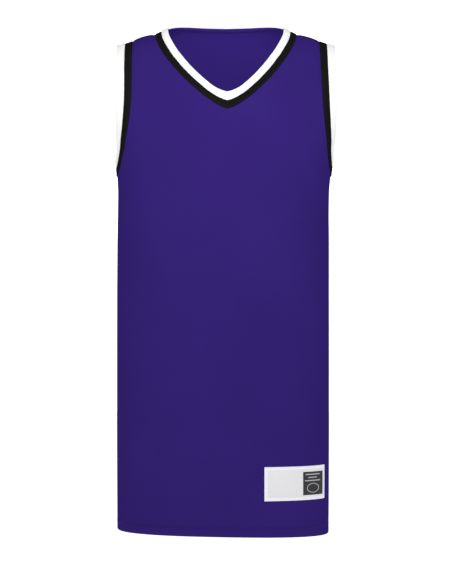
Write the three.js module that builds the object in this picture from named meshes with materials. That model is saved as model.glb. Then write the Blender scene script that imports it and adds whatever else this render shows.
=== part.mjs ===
// A sleeveless basketball jersey, filled out as it is worn, with nobody in it.
// Millimetres, +Z up. The front faces -Y. The origin lies between the two high shoulder points,
// where the wearer's shoulders carry the jersey.
import * as THREE from "three";

// Cloth
const WALL = 1.5; // one layer of knit
const HEM_WALL = 2.6; // the hem is turned up inside, so it is two layers
const TRIM_WALL = 1.1;
const SEAM_GAP = 0.3; // between two pieces that are sewn together, or that lie on each other

// Length and neck
const LENGTH = 762; // high shoulder point to hem
const HEM_FOLD = 15.5; // height of the turned-up hem
const HEM_STEP = 1.5; // height over which the second layer ends
const NECK_HALF_WIDTH = 88.9; // at the high shoulder points

// Shoulders
const SHOULDER_TIP = 165.5; // half width at the ends of the shoulder seams
const SHOULDER_HEIGHT = 195; // how far below the shoulder seam the chest is at its full depth
const CHEST_HOLLOW = 0.12; // how much flatter than an ellipse the front rises to the shoulder seam
const BACK_HOLLOW = 0.02;

// Armholes
const UNDERARM_DROP = 202;

// Trims, as widths of the finished strips
const NECK_WHITE = 10.4;
const NECK_BLACK = 10.2;
// Depth of the neck trims at the point of the V, and how far from it they have widened to that
const NECK_POINT = { white: 13.8, both: 26.8, reach: 26 };
const ARM_WHITE = 12.8;
const ARM_BLACK = 11.6;
const TAPE_WIDTH = 8.5;
const TAPE_WALL = 1;

// Label, in front view
const LABEL = { left: 61.2, right: 151.4, top: -659, bottom: -709.2, wall: 1 };

// The body, ring by ring. Drops are below the high shoulder points. Above the underarm the half width is
// that of the whole ring, arm and all, and the armhole cuts it short.
const BODY = [
  { drop: -20, halfWidth: 205, front: 98, back: 92 },
  { drop: 60, halfWidth: 211, front: 105, back: 102 },
  { drop: 90, halfWidth: 213, front: 109, back: 107 },
  { drop: 110, halfWidth: 207, front: 111, back: 109 },
  { drop: 140, halfWidth: 189, front: 115, back: 112.5 },
  { drop: 165, halfWidth: 175.5, front: 118, back: 114.5 },
  { drop: 185, halfWidth: 168, front: 120, back: 115 },
  { drop: 202, halfWidth: 165.2, front: 121, back: 115 },
  { drop: 225, halfWidth: 162, front: 121.5, back: 114 },
  { drop: 252, halfWidth: 160.2, front: 121.5, back: 112.5 },
  { drop: 330, halfWidth: 160.7, front: 119.5, back: 109 },
  { drop: 460, halfWidth: 161, front: 116.5, back: 110 },
  { drop: 620, halfWidth: 160.9, front: 116.5, back: 115 },
  { drop: 762, halfWidth: 160.3, front: 118.5, back: 118.5 },
];
const SQUARENESS = 2.6; // 2 is an ellipse in plan, and a larger number is squarer

// The shoulder seam in front view, carried on across the neck and past the shoulder tip
const SHOULDER = [
  { x: 0, height: 14 },
  { x: 30, height: 13.2 },
  { x: 52, height: 10.8 },
  { x: 67, height: 7.6 },
  { x: 78, height: 4.3 },
  { x: NECK_HALF_WIDTH, height: 0 },
  { x: 100.5, height: -6.8 },
  { x: 107, height: -9.6 },
  { x: 115, height: -11.9 },
  { x: 123, height: -14.3 },
  { x: 135, height: -17.9 },
  { x: 142, height: -20.4 },
  { x: 148, height: -22.6 },
  { x: 156, height: -24.6 },
  { x: 165.5, height: -26.7 },
  { x: 215, height: -38 },
];

// The armhole edge in front view, from the underarm up to the shoulder tip
const ARMHOLE = [
  { drop: 202, x: 165.2 },
  { drop: 198, x: 163.8 },
  { drop: 190, x: 163 },
  { drop: 180, x: 163.4 },
  { drop: 165, x: 164.4 },
  { drop: 100, x: 165 },
  { drop: 50, x: 165.5 },
];

// The neck edge in front view, from the centre out to the high shoulder point
const FRONT_NECK = [
  { x: 0, drop: 104.3 },
  { x: 9, drop: 101.6 },
  { x: 20.6, drop: 95.4 },
  { x: 31.9, drop: 85.9 },
  { x: 41.8, drop: 76.6 },
  { x: 50.6, drop: 67.2 },
  { x: 58.6, drop: 57.9 },
  { x: 66.1, drop: 48 },
  { x: 73.1, drop: 38.3 },
  { x: 80.9, drop: 24.8 },
  { x: 84.3, drop: 18 },
  { x: 87.3, drop: 10 },
  { x: NECK_HALF_WIDTH, drop: 0 },
];
const BACK_NECK = [
  { x: 0, drop: -3 },
  { x: 30, drop: -3.6 },
  { x: 60, drop: -4.2 },
  { x: 77, drop: -3 },
  { x: NECK_HALF_WIDTH, drop: 0 },
];

// The chest is drawn a little to one side: `over` is how far, and `turn` how much farther for each
// millimetre towards the front
const SWAY = [
  { drop: 0, over: 4.4, turn: 0 },
  { drop: 40, over: 4.3, turn: 0.005 },
  { drop: 100, over: 3.5, turn: 0.03 },
  { drop: 173, over: 2.6, turn: 0.03 },
  { drop: 203, over: 1.9, turn: 0.02 },
  { drop: 240, over: 1, turn: 0.005 },
  { drop: 300, over: 0.4, turn: 0 },
  { drop: 400, over: 0, turn: 0 },
];

// The hem hangs lower on one side: how steeply, and below which drop the cloth is drawn down to it
const HEM_SLANT = { slope: 0.018, from: 700 };

// Cells of the surface
const SIDE_CELLS = 13; // along a side seam, above the hem
const ARM_CELLS = 14; // along half an armhole
const NECK_CELLS = { front: 12, back: 9 };
const SHOULDER_CELLS = { front: { across: 3, up: 5 }, back: { across: 3, up: 3 } };
const LABEL_CELLS = { across: 12, up: 3 };

const FRONT = { sign: -1, depth: "front", hollow: CHEST_HOLLOW, neck: FRONT_NECK };
const BACK = { sign: 1, depth: "back", hollow: BACK_HOLLOW, neck: BACK_NECK };

// A smooth curve through one column of a table, read against another column.
function curveThrough(rows, key, column) {
  const order = [...rows].sort((one, other) => one[key] - other[key]);
  const at = order.map((row) => row[key]);
  const value = order.map((row) => row[column]);
  const last = at.length - 1;
  const slope = at.map((_, i) => {
    const before = Math.max(i - 1, 0);
    const after = Math.min(i + 1, last);
    return (value[after] - value[before]) / (at[after] - at[before]);
  });
  return (wanted) => {
    const t = Math.min(Math.max(wanted, at[0]), at[last]);
    let i = 0;
    while (i < last - 1 && t > at[i + 1]) i += 1;
    const span = at[i + 1] - at[i];
    const f = (t - at[i]) / span;
    const rise = f * f * (3 - 2 * f);
    return (
      value[i] * (1 - rise) +
      value[i + 1] * rise +
      span * f * (1 - f) * (slope[i] * (1 - f) - slope[i + 1] * f)
    );
  };
}

const bodyCurve = {
  halfWidth: curveThrough(BODY, "drop", "halfWidth"),
  front: curveThrough(BODY, "drop", "front"),
  back: curveThrough(BODY, "drop", "back"),
};
const swayCurve = {
  over: curveThrough(SWAY, "drop", "over"),
  turn: curveThrough(SWAY, "drop", "turn"),
};
const armholeX = curveThrough(ARMHOLE, "drop", "x");
const ridge = curveThrough(SHOULDER, "x", "height");

// The cloth is found by two numbers: an angle round the body, 0 at the centre and a right angle at the side
// seam, and a reach, the distance down the cloth from the shoulder seam less the seam's height.
const QUARTER = Math.PI / 2;
const FULL_REACH = SHOULDER_HEIGHT * QUARTER;

function dropForReach(reach) {
  if (reach > FULL_REACH) return SHOULDER_HEIGHT + reach - FULL_REACH;
  return SHOULDER_HEIGHT * (1 - Math.cos(Math.max(reach, 0) / SHOULDER_HEIGHT));
}

function reachForDrop(drop) {
  if (drop > SHOULDER_HEIGHT) return FULL_REACH + drop - SHOULDER_HEIGHT;
  return SHOULDER_HEIGHT * Math.acos(1 - Math.max(drop, 0) / SHOULDER_HEIGHT);
}

const TURNS = 14; // rounds in which a point's height and half width settle

// A point of the cloth, on the right half of the front or the back.
function clothPoint(half, angle, reach) {
  const across = Math.sin(angle) ** (2 / SQUARENESS);
  const deep = Math.max(Math.cos(angle), 0) ** (2 / SQUARENESS);
  let x = across * SHOULDER_TIP;
  let z = 0;
  let drop = 0;
  for (let turn = 0; turn < TURNS; turn += 1) {
    drop = dropForReach(reach + ridge(x));
    z = ridge(x) - drop;
    x = across * bodyCurve.halfWidth(-z);
  }
  const level = 1 - Math.min(drop / SHOULDER_HEIGHT, 1);
  const rise = Math.sqrt(1 - level * level) * (1 - half.hollow * level * level);
  return new THREE.Vector3(x, half.sign * bodyCurve[half.depth](-z) * deep * rise, z);
}

// The angle and reach of a point given in front view.
function placeOf(x, z) {
  const share = Math.min(x / bodyCurve.halfWidth(-z), 1);
  return { angle: Math.asin(share ** (SQUARENESS / 2)), reach: reachForDrop(ridge(x) - z) - ridge(x) };
}

function pointAt(half, place) {
  return clothPoint(half, place.angle, place.reach);
}

const NEAR = { angle: 0.004, reach: 0.5 }; // small steps, in radians and millimetres, that measure a slope

// The two directions in the cloth at a place, and the way out of it.
function tangents(half, place) {
  const back = Math.max(place.angle - NEAR.angle, 0);
  const on = Math.min(place.angle + NEAR.angle, QUARTER);
  const round = clothPoint(half, on, place.reach).sub(clothPoint(half, back, place.reach));
  round.divideScalar(on - back);
  const high = clothPoint(half, place.angle, place.reach - NEAR.reach);
  const low = clothPoint(half, place.angle, place.reach + NEAR.reach);
  const down = low.sub(high).divideScalar(2 * NEAR.reach);
  const top = place.reach + ridge(clothPoint(half, place.angle, place.reach).x) < NEAR.reach;
  if (top) down.set(0, half.sign, 0);
  const out = new THREE.Vector3().crossVectors(round, down).multiplyScalar(half.sign).normalize();
  if (place.angle > QUARTER - NEAR.angle || top) out.setY(0).normalize();
  if (place.angle < NEAR.angle) out.setX(0).normalize();
  return { round, down, out };
}

const WALK_STEPS = 6;

// Walks over the cloth from a place, square to an edge that runs along `edge`, and returns where it ends.
function walkIn(half, start, edge, distance) {
  const place = { ...start };
  let heading = null;
  for (let i = 0; i < WALK_STEPS; i += 1) {
    const { round, down, out } = tangents(half, place);
    if (!heading) heading = new THREE.Vector3().crossVectors(out, edge).normalize();
    heading.addScaledVector(out, -heading.dot(out)).normalize();
    const rr = round.dot(round);
    const rd = round.dot(down);
    const dd = down.dot(down);
    const hr = heading.dot(round);
    const hd = heading.dot(down);
    const size = (distance / WALK_STEPS) / (rr * dd - rd * rd);
    place.angle = Math.min(Math.max(place.angle + size * (hr * dd - hd * rd), 0), QUARTER);
    place.reach += size * (hd * rr - hr * rd);
  }
  return place;
}

// Places at even distances along a curve of places.
function evenPlaces(half, dense, cells) {
  const points = dense.map((place) => pointAt(half, place));
  const run = [0];
  for (let i = 1; i < points.length; i += 1) run.push(run[i - 1] + points[i].distanceTo(points[i - 1]));
  const total = run[run.length - 1];
  const places = [];
  let i = 0;
  for (let cell = 0; cell <= cells; cell += 1) {
    const wanted = (total * cell) / cells;
    while (i < run.length - 2 && run[i + 1] < wanted) i += 1;
    const f = (wanted - run[i]) / (run[i + 1] - run[i]);
    places.push({
      angle: dense[i].angle + f * (dense[i + 1].angle - dense[i].angle),
      reach: dense[i].reach + f * (dense[i + 1].reach - dense[i].reach),
    });
  }
  return places;
}

// Many places along an edge given in front view by a function of 0 to 1.
const DENSE = 240;

function densePlaces(frontView) {
  return Array.from({ length: DENSE + 1 }, (_, i) => {
    const { x, z } = frontView(i / DENSE);
    return placeOf(x, z);
  });
}

function onRidge(x) {
  return placeOf(x, ridge(x));
}

const SEAM_STEPS = 8;

// The half width that lies a distance along the shoulder seam from another.
function alongSeam(from, distance) {
  const step = distance / SEAM_STEPS;
  let x = from;
  for (let i = 0; i < SEAM_STEPS; i += 1) {
    const slope = (ridge(x + NEAR.reach) - ridge(x - NEAR.reach)) / (2 * NEAR.reach);
    x += step / Math.hypot(1, slope);
  }
  return x;
}

// Lines that run beside an edge, each at its own distance from it. `ends` gives the places of each line's
// two ends, which lie on seams or on the centre, and `widen` what the distance grows to at a half width.
function linesBeside(half, edge, distances, ends, into, widen = (distance) => distance) {
  const points = edge.map((place) => pointAt(half, place));
  return distances.map((distance) =>
    edge.map((place, i) => {
      if (i === 0) return ends.first(distance);
      if (i === edge.length - 1) return ends.last(distance);
      const along = points[i + 1].clone().sub(points[i - 1]).multiplyScalar(into);
      return distance === 0 ? place : walkIn(half, place, along, widen(distance, points[i].x));
    }),
  );
}

function neckLines(half) {
  const drop = curveThrough(half.neck, "x", "drop");
  const dense = densePlaces((t) => {
    const x = NECK_HALF_WIDTH * t;
    return { x, z: Math.min(-drop(x), ridge(x)) };
  });
  const edge = evenPlaces(half, dense, NECK_CELLS[half.depth]);
  const distances = [0, NECK_WHITE + SEAM_GAP / 2, NECK_WHITE + NECK_BLACK];
  const centre = half === FRONT ? [0, NECK_POINT.white, NECK_POINT.both] : distances;
  const widen = (distance, x) => {
    const near = Math.max(1 - x / NECK_POINT.reach, 0) ** 2;
    return distance + (centre[distances.indexOf(distance)] - distance) * near;
  };
  const across = new THREE.Vector3(half.sign, 0, 0);
  const ends = {
    first: (distance) => walkIn(half, edge[0], across, widen(distance, 0)),
    last: (distance) => onRidge(alongSeam(NECK_HALF_WIDTH, distance)),
  };
  return linesBeside(half, edge, distances, ends, half.sign, widen);
}

function armholeLines(half) {
  const tip = ridge(SHOULDER_TIP);
  const dense = densePlaces((t) => {
    const climb = t * t * (3 - 2 * t);
    const z = -UNDERARM_DROP + (UNDERARM_DROP + tip) * climb;
    return { x: armholeX(-z), z };
  });
  const edge = evenPlaces(half, dense, ARM_CELLS);
  const ends = {
    first: (distance) => placeOf(bodyCurve.halfWidth(UNDERARM_DROP + distance), -UNDERARM_DROP - distance),
    last: (distance) => onRidge(alongSeam(SHOULDER_TIP, -distance)),
  };
  const distances = [0, ARM_WHITE + SEAM_GAP / 2, ARM_WHITE + ARM_BLACK];
  return linesBeside(half, edge, distances, ends, -half.sign);
}

function between(one, other, f) {
  return {
    angle: one.angle + (other.angle - one.angle) * f,
    reach: one.reach + (other.reach - one.reach) * f,
  };
}

function placesBetween(one, other, cells) {
  return Array.from({ length: cells + 1 }, (_, i) => between(one, other, i / cells));
}

// A grid of places filled in from its four sides. Left and right run upwards, low and top outwards.
function fillIn(left, right, low, top) {
  const columns = top.length - 1;
  const climb = top[0].reach - left[0].reach;
  return left.map((start, j) => {
    const v = (start.reach - left[0].reach) / climb;
    return top.map((_, i) => {
      const u = i / columns;
      const place = {};
      for (const name of ["angle", "reach"]) {
        const sides = (1 - u) * start[name] + u * right[j][name];
        const ends = (1 - v) * low[i][name] + v * top[i][name];
        const corners =
          (1 - u) * ((1 - v) * low[0][name] + v * top[0][name]) +
          u * ((1 - v) * low[columns][name] + v * top[columns][name]);
        place[name] = sides + ends - corners;
      }
      return place;
    });
  });
}

// The part of a panel inside its trims, as one grid at the shoulder and one for the body below it.
function innerGrids(half, neck, arm) {
  const neckOuter = neck[neck.length - 1];
  const armOuter = arm[arm.length - 1];
  const cells = SHOULDER_CELLS[half.depth];
  const neckTurn = neckOuter.length - 1 - cells.up;
  const armTurn = armOuter.length - 1 - cells.up;

  const seamFrom = pointAt(half, neckOuter[neckOuter.length - 1]).x;
  const seamTo = pointAt(half, armOuter[armOuter.length - 1]).x;
  const seam = Array.from({ length: cells.across + 1 }, (_, i) =>
    onRidge(seamFrom + ((seamTo - seamFrom) * i) / cells.across),
  );
  const yoke = placesBetween(neckOuter[neckTurn], armOuter[armTurn], cells.across);
  const shoulder = fillIn(neckOuter.slice(neckTurn), armOuter.slice(armTurn), yoke, seam);

  const foldTop = LENGTH - HEM_FOLD;
  const foldEnd = foldTop - HEM_STEP;
  const underTrim = UNDERARM_DROP + ARM_WHITE + ARM_BLACK;
  const hemDrops = [LENGTH, foldTop, foldEnd];
  const sideDrops = Array.from({ length: SIDE_CELLS - 1 }, (_, i) => {
    return foldEnd + ((underTrim - foldEnd) * (i + 1)) / SIDE_CELLS;
  });
  const side = [...hemDrops, ...sideDrops].map((drop) => placeOf(bodyCurve.halfWidth(drop), -drop));
  side.push(...armOuter.slice(0, armTurn + 1));
  const top = [...neckOuter.slice(0, neckTurn), ...yoke];
  const rows = side.length - hemDrops.length;
  const centre = hemDrops.map((drop) => placeOf(0, -drop));
  centre.push(...placesBetween(placeOf(0, -foldEnd), top[0], rows).slice(1));
  const hem = placesBetween(placeOf(0, -LENGTH), side[0], top.length - 1);
  return [fillIn(centre, side, hem, top), shoulder];
}

const SAME_POINT = 0.005; // points nearer than this are one point

// A sheet of points, each with the way out of the cloth, and faces that turn outwards.
class Sheet {
  constructor() {
    this.points = [];
    this.faces = [];
    this.known = new Map();
  }

  add(point, out, inner, outer) {
    const key = [point.x, point.y, point.z].map((v) => Math.round(v / SAME_POINT)).join(" ");
    if (!this.known.has(key)) {
      this.known.set(key, this.points.length);
      this.points.push({ point, out, inner, outer });
    }
    return this.known.get(key);
  }

  // Joins a grid of points with two triangles a cell, turned outwards.
  weave(grid) {
    for (let j = 0; j + 1 < grid.length; j += 1)
      for (let i = 0; i + 1 < grid[j].length; i += 1) {
        const [a, b, c, d] = [grid[j][i], grid[j][i + 1], grid[j + 1][i + 1], grid[j + 1][i]];
        for (const face of [[a, b, c], [a, c, d]]) {
          if (new Set(face).size === 3) this.faces.push(this.turnedOut(face));
        }
      }
  }

  turnedOut([a, b, c]) {
    const [one, two, three] = [a, b, c].map((i) => this.points[i].point);
    const facing = two.clone().sub(one).cross(three.clone().sub(one));
    return facing.dot(this.points[a].out) > 0 ? [a, b, c] : [a, c, b];
  }

  // The closed wall between each point's inner and outer distance from the sheet.
  wall() {
    const count = this.points.length;
    const positions = [];
    for (const side of ["outer", "inner"])
      for (const one of this.points) {
        const moved = one.point.clone().addScaledVector(one.out, one[side]);
        settle(moved);
        positions.push(moved.x, moved.y, moved.z);
      }
    const index = [];
    const edges = new Map();
    for (const [a, b, c] of this.faces) {
      index.push(a, b, c, a + count, c + count, b + count);
      for (const [from, to] of [[a, b], [b, c], [c, a]]) edges.set(from + " " + to, [from, to]);
    }
    for (const [from, to] of edges.values()) {
      if (edges.has(to + " " + from)) continue;
      index.push(from, from + count, to, to, from + count, to + count);
    }
    const geometry = new THREE.BufferGeometry();
    geometry.setAttribute("position", new THREE.Float32BufferAttribute(positions, 3));
    geometry.setIndex(index);
    geometry.computeVertexNormals();
    return geometry;
  }
}

// Moves a point of the even form to where the cloth hangs.
function settle(point) {
  point.x += swayCurve.over(-point.z) - swayCurve.turn(-point.z) * point.y;
  const low = Math.max((-point.z - HEM_SLANT.from) / (LENGTH - HEM_SLANT.from), 0);
  point.z -= HEM_SLANT.slope * point.x * low * low;
}

// Points and ways out for a grid of places.
function clothGrid(half, places) {
  return places.map((row) =>
    row.map((place) => ({ point: pointAt(half, place), out: tangents(half, place).out })),
  );
}

// A grid of points between two rows of cloth points, in a straight line from one to the other.
function stripGrid(first, second, from, to) {
  const mix = (f) =>
    first.map((one, i) => ({
      point: one.point.clone().lerp(second[i].point, f),
      out: one.out.clone().lerp(second[i].out, f).normalize(),
    }));
  return [mix(from), mix(to)];
}

// Adds a grid to a sheet on the right (mirror 1) or the left (mirror -1) half of the body. `seamHalf` keeps
// it that far from the seams at the shoulder and the side.
function addGrid(sheet, half, grid, { mirror, inner, outer, seamHalf = 0 }) {
  const numbers = grid.map((row) =>
    row.map(({ point, out }) => {
      const deep = Math.max(half.sign * point.y, seamHalf) * half.sign;
      const placed = new THREE.Vector3(mirror * point.x, deep, point.z);
      const depth = typeof inner === "function" ? inner(point) : inner;
      return sheet.add(placed, new THREE.Vector3(mirror * out.x, out.y, out.z), depth, outer);
    }),
  );
  sheet.weave(numbers);
}

const cut = {};
for (const half of [FRONT, BACK]) {
  const neck = neckLines(half);
  const arm = armholeLines(half);
  cut[half.depth] = {
    inner: innerGrids(half, neck, arm).map((grid) => clothGrid(half, grid)),
    neck: clothGrid(half, neck),
    arm: clothGrid(half, arm),
  };
}

function panel(half) {
  const sheet = new Sheet();
  const { inner: grids, neck, arm } = cut[half.depth];
  const foldTop = -LENGTH + HEM_FOLD + HEM_STEP / 2;
  const inner = (point) => (point.z < foldTop ? -HEM_WALL : -WALL);
  for (const mirror of [1, -1]) {
    const options = { mirror, inner, outer: 0, seamHalf: SEAM_GAP / 2 };
    for (const grid of [...grids, neck, arm]) addGrid(sheet, half, grid, options);
  }
  return sheet.wall();
}

const TRIM_LIFT = { inner: SEAM_GAP, outer: SEAM_GAP + TRIM_WALL };

function neckTrim(line, from, to) {
  const sheet = new Sheet();
  for (const half of [FRONT, BACK]) {
    const { neck } = cut[half.depth];
    for (const mirror of [1, -1])
      addGrid(sheet, half, stripGrid(neck[line], neck[line + 1], from, to), { mirror, ...TRIM_LIFT });
  }
  return sheet.wall();
}

function armholeTrim(mirror, line, from, to) {
  const sheet = new Sheet();
  for (const half of [FRONT, BACK]) {
    const { arm } = cut[half.depth];
    addGrid(sheet, half, stripGrid(arm[line], arm[line + 1], from, to), { mirror, ...TRIM_LIFT });
  }
  return sheet.wall();
}

// The tape lies on the inside of the back, and stops just short of the shoulder seams.
function backNeckTape() {
  const sheet = new Sheet();
  const [edge, next] = cut.back.neck;
  const width = TAPE_WIDTH / (NECK_WHITE + SEAM_GAP / 2);
  const grid = stripGrid(edge.slice(0, -1), next.slice(0, -1), 0, width);
  const inner = -WALL - SEAM_GAP - TAPE_WALL;
  for (const mirror of [1, -1])
    addGrid(sheet, BACK, grid, { mirror, inner, outer: -WALL - SEAM_GAP });
  return sheet.wall();
}

function hemLabel() {
  const sheet = new Sheet();
  const { left, right, top, bottom, wall } = LABEL;
  const first = placeOf(left, (top + bottom) / 2).angle;
  const last = placeOf(right, (top + bottom) / 2).angle;
  const places = Array.from({ length: LABEL_CELLS.up + 1 }, (_, j) => {
    const z = bottom + ((top - bottom) * j) / LABEL_CELLS.up;
    return placesBetween({ angle: first }, { angle: last }, LABEL_CELLS.across).map(({ angle }) => {
      const x = bodyCurve.halfWidth(-z) * Math.sin(angle) ** (2 / SQUARENESS);
      return placeOf(x, z);
    });
  });
  const grid = clothGrid(FRONT, places);
  addGrid(sheet, FRONT, grid, { mirror: 1, inner: SEAM_GAP, outer: SEAM_GAP + wall });
  return sheet.wall();
}

const PURPLE = { color: 0x38257a, roughness: 0.75, metalness: 0 };
const WHITE = { color: 0xf4f4f2, roughness: 0.8, metalness: 0 };
const BLACK = { color: 0x1b1b1a, roughness: 0.85, metalness: 0 };
const LABEL_WHITE = { color: 0xe9e9ec, roughness: 0.6, metalness: 0 };

function piece(name, geometry, finish) {
  const mesh = new THREE.Mesh(geometry, new THREE.MeshStandardMaterial(finish));
  mesh.name = name;
  return mesh;
}

// Where a trim ends, as a share of the way between two lines beside the edge.
const whiteEnd = (white) => white / (white + SEAM_GAP / 2);
const blackStart = (black) => SEAM_GAP / 2 / (black - SEAM_GAP / 2);

const jersey = new THREE.Group();
jersey.add(piece("front_panel", panel(FRONT), PURPLE));
jersey.add(piece("back_panel", panel(BACK), PURPLE));
jersey.add(piece("neck_trim_white", neckTrim(0, 0, whiteEnd(NECK_WHITE)), WHITE));
jersey.add(piece("neck_trim_black", neckTrim(1, blackStart(NECK_BLACK), 1), BLACK));
for (const [side, mirror] of [["right", 1], ["left", -1]]) {
  jersey.add(
    piece("armhole_trim_white_" + side, armholeTrim(mirror, 0, 0, whiteEnd(ARM_WHITE)), WHITE),
    piece("armhole_trim_black_" + side, armholeTrim(mirror, 1, blackStart(ARM_BLACK), 1), BLACK),
  );
}
jersey.add(piece("back_neck_tape", backNeckTape(), PURPLE));
jersey.add(piece("hem_label", hemLabel(), LABEL_WHITE));

export default jersey;
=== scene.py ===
import functools
import math
from collections import namedtuple

import bmesh
import bpy
import numpy as np
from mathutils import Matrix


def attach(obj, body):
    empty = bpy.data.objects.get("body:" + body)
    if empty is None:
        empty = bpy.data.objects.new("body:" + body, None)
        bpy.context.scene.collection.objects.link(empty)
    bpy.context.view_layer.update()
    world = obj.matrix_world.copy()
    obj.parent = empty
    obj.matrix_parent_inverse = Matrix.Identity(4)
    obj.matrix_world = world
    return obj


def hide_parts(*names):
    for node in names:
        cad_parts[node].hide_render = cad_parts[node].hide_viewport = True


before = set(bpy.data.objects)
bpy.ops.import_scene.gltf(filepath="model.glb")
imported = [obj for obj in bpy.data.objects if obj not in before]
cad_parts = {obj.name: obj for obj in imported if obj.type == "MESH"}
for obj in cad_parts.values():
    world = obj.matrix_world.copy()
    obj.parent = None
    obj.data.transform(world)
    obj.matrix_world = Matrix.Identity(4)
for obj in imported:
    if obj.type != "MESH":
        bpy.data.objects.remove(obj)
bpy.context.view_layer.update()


# Front panel
# The front of a sleeveless basketball jersey, cut in one piece from smooth polyester knit, with a V neck,
# deep armholes and a hem turned up once. It hangs in the round shape that it takes on a wearer.

MM = 0.001  # every size below is in millimetres
KNIT = 1.0  # thickness of one layer
SEAM_HALF = 0.02  # each panel ends this far from the seam
LENGTH = 762.0  # high shoulder point to hem
HEM_FOLD = 15.5  # height of the turned-up hem
HEM_ROWS = (12.0, 14.8)  # the two rows of stitches in the hem, above its edge
NECK_HALF_WIDTH = 88.9
SHOULDER_TIP = 165.5
SHOULDER_HEIGHT = 195.0
UNDERARM_DROP = 202.0
NECK_WHITE = 10.4
NECK_BLACK = 10.2
ARM_WHITE = 12.8
ARM_BLACK = 11.6
SQUARENESS = 2.6  # of the body in plan: 2 is an ellipse

BODY = (
    # drop, half width, front depth, back depth
    (-20, 205, 98, 92),
    (60, 211, 105, 102),
    (90, 213, 109, 107),
    (110, 207, 111, 109),
    (140, 189, 115, 112.5),
    (165, 175.5, 118, 114.5),
    (185, 168, 120, 115),
    (202, 165.2, 121, 115),
    (225, 162, 121.5, 114),
    (252, 160.2, 121.5, 112.5),
    (330, 160.7, 119.5, 109),
    (460, 161, 116.5, 110),
    (620, 160.9, 116.5, 115),
    (762, 160.3, 118.5, 118.5),
)
SHOULDER = (
    # half width, height of the shoulder seam
    (0, 14),
    (30, 13.2),
    (52, 10.8),
    (67, 7.6),
    (78, 4.3),
    (88.9, 0),
    (100.5, -6.8),
    (107, -9.6),
    (115, -11.9),
    (123, -14.3),
    (135, -17.9),
    (142, -20.4),
    (148, -22.6),
    (156, -24.6),
    (165.5, -26.7),
    (215, -38),
)
ARMHOLE = (
    # drop, half width
    (202, 165.2),
    (198, 163.8),
    (190, 163),
    (180, 163.4),
    (165, 164.4),
    (100, 165),
    (50, 165.5),
)
FRONT_NECK = (
    # half width, drop
    (0, 104.3),
    (9, 101.6),
    (20.6, 95.4),
    (31.9, 85.9),
    (41.8, 76.6),
    (50.6, 67.2),
    (58.6, 57.9),
    (66.1, 48),
    (73.1, 38.3),
    (80.9, 24.8),
    (84.3, 18),
    (87.3, 10),
    (88.9, 0),
)
BACK_NECK = (
    # half width, drop
    (0, -3),
    (30, -3.6),
    (60, -4.2),
    (77, -3),
    (88.9, 0),
)
SWAY = (
    # drop, how far the chest is drawn over, and how much farther towards the front
    (0, 4.4, 0),
    (40, 4.3, 0.005),
    (100, 3.5, 0.03),
    (173, 2.6, 0.03),
    (203, 1.9, 0.02),
    (240, 1, 0.005),
    (300, 0.4, 0),
    (400, 0, 0),
)
HEM_SLANT, SLANT_FROM = 0.018, 700.0  # the hem hangs lower on one side, and the cloth is drawn down to it
SOFT_FOLDS = (
    # side, x, z, tilt in degrees, half length, half width, height
    (-1, -121, -246, 58, 46, 9, -0.9),
    (-1, 124, -240, -57, 44, 9, -0.8),
    (-1, -66, -430, 84, 150, 24, -0.9),
    (-1, 78, -500, 97, 160, 27, -1.0),
    (-1, 10, -610, 90, 130, 30, 0.8),
    (-1, -118, -640, 80, 90, 18, 0.8),
    (1, -72, -320, 82, 170, 26, -1.9),
    (1, 66, -350, 99, 190, 28, -2.0),
    (1, 2, -560, 90, 150, 28, 1.5),
    (1, -112, -238, 55, 60, 12, -1.4),
    (1, 114, -244, -55, 60, 12, -1.4),
    (1, 112, -600, 96, 120, 20, -1.2),
)


def curve_through(rows, column):
    """A smooth curve through one column of a table, read against its first column."""
    table = np.array(rows, dtype=float)
    at, value = table[:, 0], table[:, column]
    before = np.maximum(np.arange(len(at)) - 1, 0)
    after = np.minimum(np.arange(len(at)) + 1, len(at) - 1)
    slope = (value[after] - value[before]) / (at[after] - at[before])

    def read(wanted):
        t = np.clip(wanted, at[0], at[-1])
        i = np.clip(np.searchsorted(at, t) - 1, 0, len(at) - 2)
        span = at[i + 1] - at[i]
        f = (t - at[i]) / span
        rise = f * f * (3 - 2 * f)
        bend = span * f * (1 - f) * (slope[i] * (1 - f) - slope[i + 1] * f)
        return value[i] * (1 - rise) + value[i + 1] * rise + bend

    return read


half_width = curve_through(BODY, 1)
armhole_x = curve_through(sorted(ARMHOLE), 1)
ridge = curve_through(SHOULDER, 1)
sway_over, sway_turn = curve_through(SWAY, 1), curve_through(SWAY, 2)
Half = namedtuple("Half", "sign depth hollow neck neck_cells turn")
FRONT = Half(-1, curve_through(BODY, 2), 0.12, FRONT_NECK, neck_cells=60, turn=25)
BACK = Half(1, curve_through(BODY, 3), 0.02, BACK_NECK, neck_cells=45, turn=15)
FULL_REACH = SHOULDER_HEIGHT * math.pi / 2


def drop_for_reach(reach):
    round_part = SHOULDER_HEIGHT * (1 - np.cos(np.clip(reach, 0, FULL_REACH) / SHOULDER_HEIGHT))
    return round_part + np.maximum(reach - FULL_REACH, 0)


def reach_for_drop(drop):
    round_part = SHOULDER_HEIGHT * np.arccos(1 - np.clip(drop / SHOULDER_HEIGHT, 0, 1))
    return round_part + np.maximum(drop - SHOULDER_HEIGHT, 0)


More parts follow.
